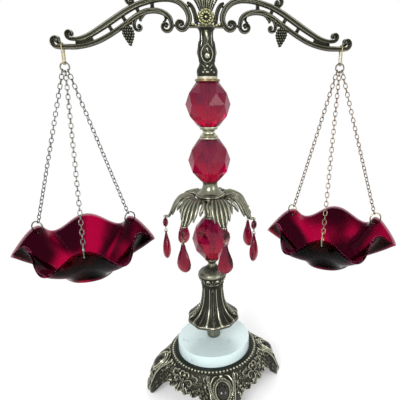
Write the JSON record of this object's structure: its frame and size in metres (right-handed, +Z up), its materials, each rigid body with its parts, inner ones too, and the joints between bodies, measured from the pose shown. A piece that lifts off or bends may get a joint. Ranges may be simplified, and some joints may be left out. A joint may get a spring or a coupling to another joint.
{
  "type": "ornamental balance scale",
  "caption": "Ornamental balance scale: faceted bead column on a marble and cast metal base, scrolled beam, hanging glass prisms and a ruffled glass bowl on chains at each end.",
  "frame": {"origin": "centre of the base on the table", "axes": "+X along the beam to the right bowl, -Y to the front, +Z up the column"},
  "size_m": [0.4353, 0.1758, 0.5053],
  "materials": {
    "antique_brass": "cast antique brass with dark recesses, satin",
    "marble": "pale blue-grey marble, polished, faint grey veins",
    "gasket": "very dark green, matt",
    "pale_brass": "turned pale brass, satin",
    "gold_ring": "turned gold-brown brass, satin",
    "cream_collar": "pale matt lacquered brass",
    "ruby_bead": "faceted clear ruby red acrylic",
    "ruby_glass": "pressed clear ruby red glass, polished",
    "rod_steel": "zinc-plated steel",
    "wire": "worn brass wire, satin"
  },
  "bodies": {
    "stand": {"base_casting": "antique_brass", "base_washer": "rod_steel", "base_nut": "rod_steel", "threaded_rod": "rod_steel", "marble_gasket": "gasket", "marble_disc": "marble", "pedestal_stem": "rod_steel", "pedestal_bell": "antique_brass", "pedestal_knob": "antique_brass", "lower_cup": "pale_brass", "lower_bead": "ruby_bead", "leaf_crown": "antique_brass", "bell_spool": "pale_brass", "middle_bead": "ruby_bead", "waist_spool": "pale_brass", "upper_bead": "ruby_bead", "bead_ring": "gold_ring", "thin_collar": "cream_collar", "beam_casting": "antique_brass", "finial": "antique_brass"},
    "left_hook": {"left_hook": "wire"},
    "right_hook": {"right_hook": "wire"},
    "left_pan": {"left_chain_ring": "wire", "left_front_chain": "wire", "left_inner_chain": "wire", "left_outer_chain": "wire", "left_rim_rings": "wire", "left_bowl": "ruby_glass"},
    "right_pan": {"right_chain_ring": "wire", "right_front_chain": "wire", "right_outer_chain": "wire", "right_inner_chain": "wire", "right_rim_rings": "wire", "right_bowl": "ruby_glass"},
    "button_1": {"prism_pin_1": "wire", "prism_button_1": "ruby_glass"},
    "drop_1": {"prism_drop_1": "ruby_glass"},
    "button_2": {"prism_pin_2": "wire", "prism_button_2": "ruby_glass"},
    "drop_2": {"prism_drop_2": "ruby_glass"},
    "button_3": {"prism_pin_3": "wire", "prism_button_3": "ruby_glass"},
    "drop_3": {"prism_drop_3": "ruby_glass"},
    "button_4": {"prism_pin_4": "wire", "prism_button_4": "ruby_glass"},
    "drop_4": {"prism_drop_4": "ruby_glass"},
    "button_5": {"prism_pin_5": "wire", "prism_button_5": "ruby_glass"},
    "drop_5": {"prism_drop_5": "ruby_glass"},
    "button_6": {"prism_pin_6": "wire", "prism_button_6": "ruby_glass"},
    "drop_6": {"prism_drop_6": "ruby_glass"},
    "button_7": {"prism_pin_7": "wire", "prism_button_7": "ruby_glass"},
    "drop_7": {"prism_drop_7": "ruby_glass"}
  },
  "joints": [
    {"name": "left_hook_swing", "type": "hinge", "parent": "stand", "child": "left_hook", "pos_m": [-0.144, 0, 0.4125], "axis": [1, 0, 0], "range_deg": [-20, 20]},
    {"name": "left_pan_swing", "type": "hinge", "parent": "left_hook", "child": "left_pan", "pos_m": [-0.144, 0, 0.3958], "axis": [0, 1, 0], "range_deg": [-2, 25]},
    {"name": "right_hook_swing", "type": "hinge", "parent": "stand", "child": "right_hook", "pos_m": [0.144, 0, 0.4125], "axis": [1, 0, 0], "range_deg": [-20, 20]},
    {"name": "right_pan_swing", "type": "hinge", "parent": "right_hook", "child": "right_pan", "pos_m": [0.144, 0, 0.3958], "axis": [0, -1, 0], "range_deg": [-2, 25]},
    {"name": "button_1_swing", "type": "hinge", "parent": "stand", "child": "button_1", "pos_m": [0.0136, -0.05076, 0.2305], "axis": [-0.9659, -0.2588, 0], "range_deg": [-14, 15]},
    {"name": "drop_1_swing", "type": "hinge", "parent": "button_1", "child": "drop_1", "pos_m": [0.0136, -0.05076, 0.2144], "axis": [-0.9659, -0.2588, 0], "range_deg": [-14, 20]},
    {"name": "button_2_swing", "type": "hinge", "parent": "stand", "child": "button_2", "pos_m": [0.04816, -0.02101, 0.2305], "axis": [-0.3999, -0.9166, 0], "range_deg": [-14, 15]},
    {"name": "drop_2_swing", "type": "hinge", "parent": "button_2", "child": "drop_2", "pos_m": [0.04816, -0.02101, 0.2144], "axis": [-0.3999, -0.9166, 0], "range_deg": [-14, 20]},
    {"name": "button_3_swing", "type": "hinge", "parent": "stand", "child": "button_3", "pos_m": [0.04646, 0.02456, 0.2305], "axis": [0.4673, -0.8841, 0], "range_deg": [-14, 15]},
    {"name": "drop_3_swing", "type": "hinge", "parent": "button_3", "child": "drop_3", "pos_m": [0.04646, 0.02456, 0.2144], "axis": [0.4673, -0.8841, 0], "range_deg": [-14, 20]},
    {"name": "button_4_swing", "type": "hinge", "parent": "stand", "child": "button_4", "pos_m": [0.00977, 0.05163, 0.2305], "axis": [0.9826, -0.1859, 0], "range_deg": [-14, 15]},
    {"name": "drop_4_swing", "type": "hinge", "parent": "button_4", "child": "drop_4", "pos_m": [0.00977, 0.05163, 0.2144], "axis": [0.9826, -0.1859, 0], "range_deg": [-14, 20]},
    {"name": "button_5_swing", "type": "hinge", "parent": "stand", "child": "button_5", "pos_m": [-0.03428, 0.03983, 0.2305], "axis": [0.758, 0.6523, 0], "range_deg": [-14, 15]},
    {"name": "drop_5_swing", "type": "hinge", "parent": "button_5", "child": "drop_5", "pos_m": [-0.03428, 0.03983, 0.2144], "axis": [0.758, 0.6523, 0], "range_deg": [-14, 20]},
    {"name": "button_6_swing", "type": "hinge", "parent": "stand", "child": "button_6", "pos_m": [-0.05251, -0.00197, 0.2305], "axis": [-0.0374, 0.9993, 0], "range_deg": [-14, 15]},
    {"name": "drop_6_swing", "type": "hinge", "parent": "button_6", "child": "drop_6", "pos_m": [-0.05251, -0.00197, 0.2144], "axis": [-0.0374, 0.9993, 0], "range_deg": [-14, 20]},
    {"name": "button_7_swing", "type": "hinge", "parent": "stand", "child": "button_7", "pos_m": [-0.03121, -0.04228, 0.2305], "axis": [-0.8046, 0.5938, 0], "range_deg": [-14, 15]},
    {"name": "drop_7_swing", "type": "hinge", "parent": "button_7", "child": "drop_7", "pos_m": [-0.03121, -0.04228, 0.2144], "axis": [-0.8046, 0.5938, 0], "range_deg": [-14, 20]}
  ]
}
